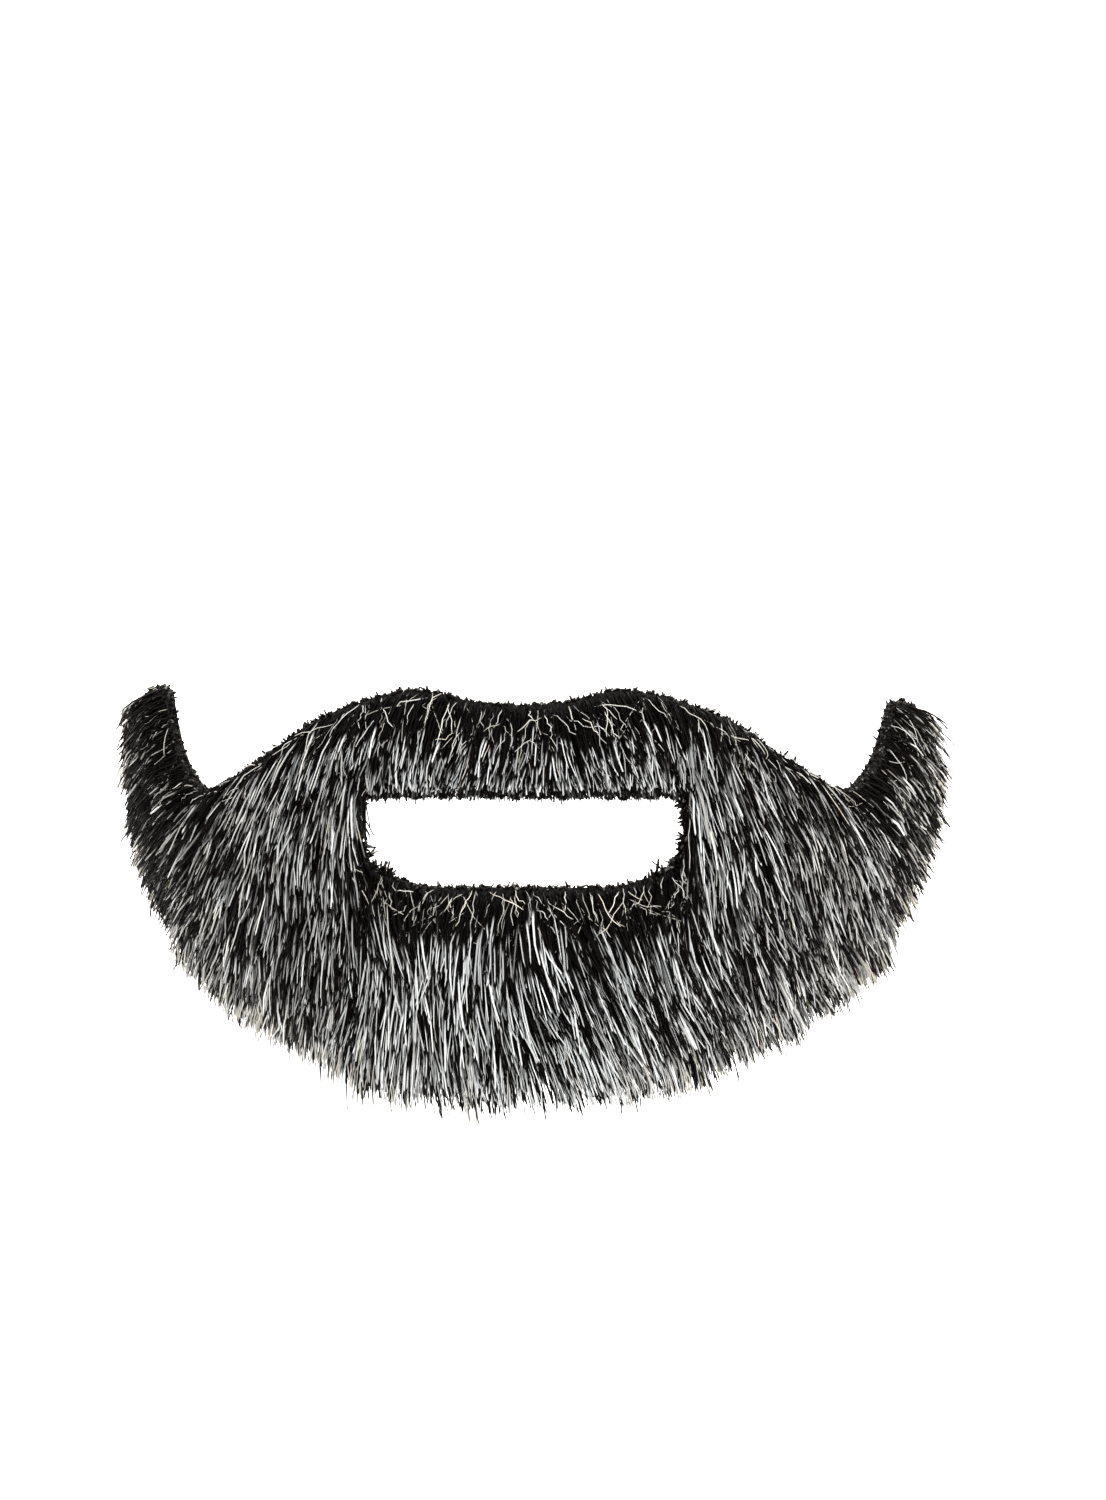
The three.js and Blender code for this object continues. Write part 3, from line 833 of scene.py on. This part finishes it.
stray_batch = tubes(
    stray_paths,
    stray_width[:, None] * np.array([0.8, 1, 1, 1, 1, 0.95, 0.7])[None],
    tone=np.clip(chance.normal(0.92, 0.15, STRAY_COUNT), 0, 1),
    warmth=np.clip(chance.normal(0.55, 0.2, STRAY_COUNT), 0, 1),
    frost=np.clip(chance.normal(0.02, 0.12, STRAY_COUNT), -0.1, 0.5),
)
strays = fibre_piece("stray_fibres", stray_batch)
strays.data.materials.append(fibre_material)

# %% [markdown]
# ## The cloth
# The ground is a knitted fabric, black as the hair and cut by hand. The CAD shell already has
# its form, so the piece starts as a merged copy of it with its triangles joined to four-sided
# faces, and a subdivision surface rounds them. The sharp edges of the cut are creased, so that
# they stay where they are.

# %% Cloth
SHARP_EDGE = math.radians(50)
CUT_CREASE = 0.8

cloth_form = bmesh.new()
cloth_form.from_mesh(nodes["backing_cloth"].data)
bmesh.ops.remove_doubles(cloth_form, verts=cloth_form.verts, dist=0.01 * MM)
bmesh.ops.join_triangles(
    cloth_form,
    faces=cloth_form.faces,
    angle_face_threshold=math.radians(30),
    angle_shape_threshold=math.radians(60),
)
crease = cloth_form.edges.layers.float.new("crease_edge")
cut_edges = [e for e in cloth_form.edges if len(e.link_faces) == 2 and e.calc_face_angle() > SHARP_EDGE]
for edge in cut_edges:
    edge[crease] = CUT_CREASE
print(f"cloth: {len(cloth_form.faces)} faces, {len(cut_edges)} creased edges")

# %% [markdown]
# The knit follows the curve of the cloth, so the cloth gets a UV map that is measured in
# millimetres: the way round across it, and the height upwards. The cloth is close to an ellipse
# seen from above, so the way round is that ellipse's arc length.

# %% Map the cloth in millimetres
arc_turns = np.radians(np.linspace(-120, 120, 241))
arc_steps = np.hypot(ELLIPSE_HALF_WIDTH * np.cos(arc_turns), ELLIPSE_DEPTH * np.sin(arc_turns)) / MM
arc_pieces = (arc_steps[1:] + arc_steps[:-1]) / 2 * np.diff(arc_turns)
arc_lengths = np.concatenate([[0], np.cumsum(arc_pieces)])
mapping = cloth_form.loops.layers.uv.new("millimetres")
across = []
for face in cloth_form.faces:
    for corner in face.loops:
        x, y, z = corner.vert.co
        turn_there = math.atan2(x / ELLIPSE_HALF_WIDTH, 1 - y / ELLIPSE_DEPTH)
        corner[mapping].uv = (np.interp(turn_there, arc_turns, arc_lengths), z / MM)
        across.append(corner[mapping].uv.x)
cloth = bpy.data.objects.new("knitted_ground", bpy.data.meshes.new("knitted_ground"))
cloth_form.to_mesh(cloth.data)
cloth_form.free()
scene.collection.objects.link(cloth)
cloth.data.shade_smooth()
rounding = cloth.modifiers.new("rounding", "SUBSURF")
rounding.levels = 1
rounding.render_levels = 1
print(f"the map of the cloth: {max(across) - min(across):.0f} mm round the curve")

# %% [markdown]
# ## The knit
# Plain knitting shows columns of V-shaped stitches. A column is 1.3 mm wide here and a stitch
# 1.0 mm high. The V is a wave along the height that is shifted by the distance from the middle
# of its column, and the grooves between columns are cut deeper. The same relief also sets painted
# shade: the colour is darker in the grooves and the low parts of the stitches. The eye sees a dull
# black cloth with fine ribs.

# %% Knitted polyester
COLUMN_WIDTH = 1.3
STITCH_HEIGHT = 1.0

ground_material, tree, shader = new_material("knitted_black_polyester")
place = add_node(tree, "UVMap", uv_map="millimetres").outputs["UV"]
parts = add_node(tree, "SeparateXYZ", {0: place})
column = add_node(tree, "Math", {0: parts.outputs["X"], 1: COLUMN_WIDTH}, operation="DIVIDE").outputs[0]
row = add_node(tree, "Math", {0: parts.outputs["Y"], 1: STITCH_HEIGHT}, operation="DIVIDE").outputs[0]
from_middle = add_node(tree, "Math", {0: column, 1: 0.5}, operation="PINGPONG").outputs[0]
shifted = add_node(tree, "Math", {0: from_middle, 1: 1.5, 2: row}, operation="MULTIPLY_ADD").outputs[0]
turns = add_node(tree, "Math", {0: shifted, 1: math.tau}, operation="MULTIPLY").outputs[0]
wave = add_node(tree, "Math", {0: turns}, operation="SINE").outputs[0]
loop_height = add_node(
    tree, "MapRange", {"Value": wave, "From Min": -1, "From Max": 1, "To Min": 0.3}
).outputs["Result"]
groove = add_node(
    tree, "MapRange", {"Value": from_middle, "From Max": 0.12}, interpolation_type="SMOOTHSTEP"
).outputs["Result"]
stitch_relief_and_painted_shade = add_node(tree, "Math", {0: loop_height, 1: groove}, operation="MULTIPLY").outputs[0]
thread = add_node(tree, "TexNoise", {"Vector": place, "Scale": 5.0, "Detail": 3.0}).outputs["Fac"]
height = add_node(tree, "Math", {0: thread, 1: 0.35, 2: stitch_relief_and_painted_shade}, operation="MULTIPLY_ADD").outputs[0]
bump = add_node(tree, "Bump", {"Strength": 0.9, "Distance": 0.25 * MM, "Height": height})
tree.links.new(bump.outputs["Normal"], shader.inputs["Normal"])
# Painted shade: the cloth's colour is darker where the stitch relief is low, in the grooves and between
# the loops.
knit_colour_with_painted_shade = mix_colours(tree, stitch_relief_and_painted_shade, colour("#060505"), colour("#191717"))
tree.links.new(knit_colour_with_painted_shade, shader.inputs["Base Color"])
shader.inputs["Roughness"].default_value = 0.85
shader.inputs["Specular IOR Level"].default_value = 0.12
shader.inputs["Sheen Weight"].default_value = 0.06
shader.inputs["Sheen Roughness"].default_value = 0.5
cloth.data.materials.append(ground_material)
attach(cloth, "root")
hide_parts("backing_cloth")
print("material:", ground_material.name)

# %% [markdown]
# ## Sizes
# The box of the finished look is printed beside the CAD model's.

# %% Keep both boxes
bpy.context.view_layer.update()
boxes = {"cad": [list(v) for v in cad_bounds], "scene": [list(v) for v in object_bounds()]}
for name, (low, high) in boxes.items():
    print(name, [round(v / MM, 1) for v in low], [round(v / MM, 1) for v in high])
